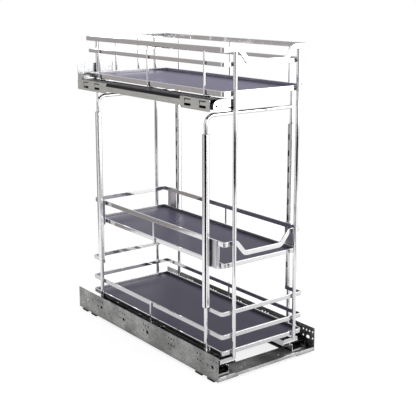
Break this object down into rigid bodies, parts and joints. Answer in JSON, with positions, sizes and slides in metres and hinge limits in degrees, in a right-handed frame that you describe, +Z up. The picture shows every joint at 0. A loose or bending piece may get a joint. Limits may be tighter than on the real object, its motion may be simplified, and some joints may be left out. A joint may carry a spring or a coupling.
{
  "type": "base cabinet pull-out",
  "caption": "Narrow pull-out for a base cabinet: chromed baskets and an adjustable shelf on a carriage that rolls out of a floor-mounted chassis on ball slides.",
  "frame": {"origin": "on the floor, under the middle of the box of the closed pull-out", "axes": "-Y is the front, the way it pulls out; +X is the right hand side seen from the front; +Z is up"},
  "size_m": [0.262, 0.546, 0.658],
  "materials": {
    "chromed_steel": "polished",
    "galvanised_steel": "zinc plated, mottled",
    "slide_steel": "zinc plated",
    "tray_laminate": "satin",
    "black_rubber": "matt"
  },
  "bodies": {
    "root": {"left_side_plate": "galvanised_steel", "right_side_plate": "galvanised_steel", "front_cross_pan": "galvanised_steel", "rear_cross_pan": "galvanised_steel", "rubber_feet": "black_rubber", "left_slide_cabinet_member": "slide_steel", "right_slide_cabinet_member": "slide_steel", "chassis_rivets": "galvanised_steel", "top_slide_mount_rail": "galvanised_steel", "top_slide_rear_bracket": "galvanised_steel", "top_slide_outer_member": "slide_steel", "top_slide_rivets": "galvanised_steel"},
    "carriage": {"bottom_frame": "chromed_steel", "bottom_front_guard": "chromed_steel", "bottom_rear_guard": "chromed_steel", "bottom_side_rail": "chromed_steel", "bottom_tray": "tray_laminate", "bottom_wire": "chromed_steel", "carriage_screws": "galvanised_steel", "front_cross_bar": "chromed_steel", "front_hoop": "chromed_steel", "left_front_sleeve": "chromed_steel", "left_front_upright": "chromed_steel", "left_rear_sleeve": "chromed_steel", "left_rear_upright": "chromed_steel", "left_runner": "chromed_steel", "left_slide_drawer_member": "slide_steel", "rear_cross_bar": "chromed_steel", "rear_hoop": "chromed_steel", "right_front_post": "chromed_steel", "right_front_sleeve": "chromed_steel", "right_front_upright": "chromed_steel", "right_rear_post": "chromed_steel", "right_rear_sleeve": "chromed_steel", "right_rear_upright": "chromed_steel", "right_runner": "chromed_steel", "right_slide_drawer_member": "slide_steel", "top_frame": "chromed_steel", "top_middle_rail": "chromed_steel", "top_rail": "chromed_steel", "top_slide_bumper": "black_rubber", "top_slide_carrier": "galvanised_steel", "top_slide_front_bracket": "chromed_steel", "top_slide_inner_member": "slide_steel", "top_tray": "tray_laminate", "top_wires": "chromed_steel"},
    "middle_shelf": {"shelf_frame": "chromed_steel", "shelf_hook_plates": "chromed_steel", "shelf_top_rail": "chromed_steel", "shelf_tray": "tray_laminate", "shelf_wires": "chromed_steel"},
    "left_slide_middle": {"left_slide_middle_member": "slide_steel"},
    "left_slide_outer_cage": {"left_slide_outer_ball_cage": "slide_steel"},
    "left_slide_inner_cage": {"left_slide_inner_ball_cage": "slide_steel"},
    "right_slide_middle": {"right_slide_middle_member": "slide_steel"},
    "right_slide_outer_cage": {"right_slide_outer_ball_cage": "slide_steel"},
    "right_slide_inner_cage": {"right_slide_inner_ball_cage": "slide_steel"},
    "top_slide_middle": {"top_slide_middle_member": "slide_steel"},
    "top_slide_outer_cage": {"top_slide_outer_ball_cage": "slide_steel"},
    "top_slide_inner_cage": {"top_slide_inner_ball_cage": "slide_steel"}
  },
  "joints": [
    {"name": "pullout_slide", "type": "slide", "parent": "root", "child": "carriage", "axis": [0, -1, 0], "range_m": [0, 0.5]},
    {"name": "shelf_lift", "type": "slide", "parent": "carriage", "child": "middle_shelf", "axis": [0, 0, 1], "range_m": [0, 0.006]},
    {"name": "left_slide_middle_travel", "type": "slide", "parent": "root", "child": "left_slide_middle", "axis": [0, -1, 0], "range_m": [0, 0.25]},
    {"name": "left_slide_outer_cage_travel", "type": "slide", "parent": "root", "child": "left_slide_outer_cage", "axis": [0, -1, 0], "range_m": [0, 0.125]},
    {"name": "left_slide_inner_cage_travel", "type": "slide", "parent": "root", "child": "left_slide_inner_cage", "axis": [0, -1, 0], "range_m": [0, 0.375]},
    {"name": "right_slide_middle_travel", "type": "slide", "parent": "root", "child": "right_slide_middle", "axis": [0, -1, 0], "range_m": [0, 0.25]},
    {"name": "right_slide_outer_cage_travel", "type": "slide", "parent": "root", "child": "right_slide_outer_cage", "axis": [0, -1, 0], "range_m": [0, 0.125]},
    {"name": "right_slide_inner_cage_travel", "type": "slide", "parent": "root", "child": "right_slide_inner_cage", "axis": [0, -1, 0], "range_m": [0, 0.375]},
    {"name": "top_slide_middle_travel", "type": "slide", "parent": "root", "child": "top_slide_middle", "axis": [0, -1, 0], "range_m": [0, 0.25]},
    {"name": "top_slide_outer_cage_travel", "type": "slide", "parent": "root", "child": "top_slide_outer_cage", "axis": [0, -1, 0], "range_m": [0, 0.125]},
    {"name": "top_slide_inner_cage_travel", "type": "slide", "parent": "root", "child": "top_slide_inner_cage", "axis": [0, -1, 0], "range_m": [0, 0.375]}
  ],
  "couplings": [
    {"joint": "left_slide_middle_travel", "follows": "pullout_slide", "ratio": 0.5},
    {"joint": "left_slide_outer_cage_travel", "follows": "pullout_slide", "ratio": 0.25},
    {"joint": "left_slide_inner_cage_travel", "follows": "pullout_slide", "ratio": 0.75},
    {"joint": "right_slide_middle_travel", "follows": "pullout_slide", "ratio": 0.5},
    {"joint": "right_slide_outer_cage_travel", "follows": "pullout_slide", "ratio": 0.25},
    {"joint": "right_slide_inner_cage_travel", "follows": "pullout_slide", "ratio": 0.75},
    {"joint": "top_slide_middle_travel", "follows": "pullout_slide", "ratio": 0.5},
    {"joint": "top_slide_outer_cage_travel", "follows": "pullout_slide", "ratio": 0.25},
    {"joint": "top_slide_inner_cage_travel", "follows": "pullout_slide", "ratio": 0.75}
  ]
}
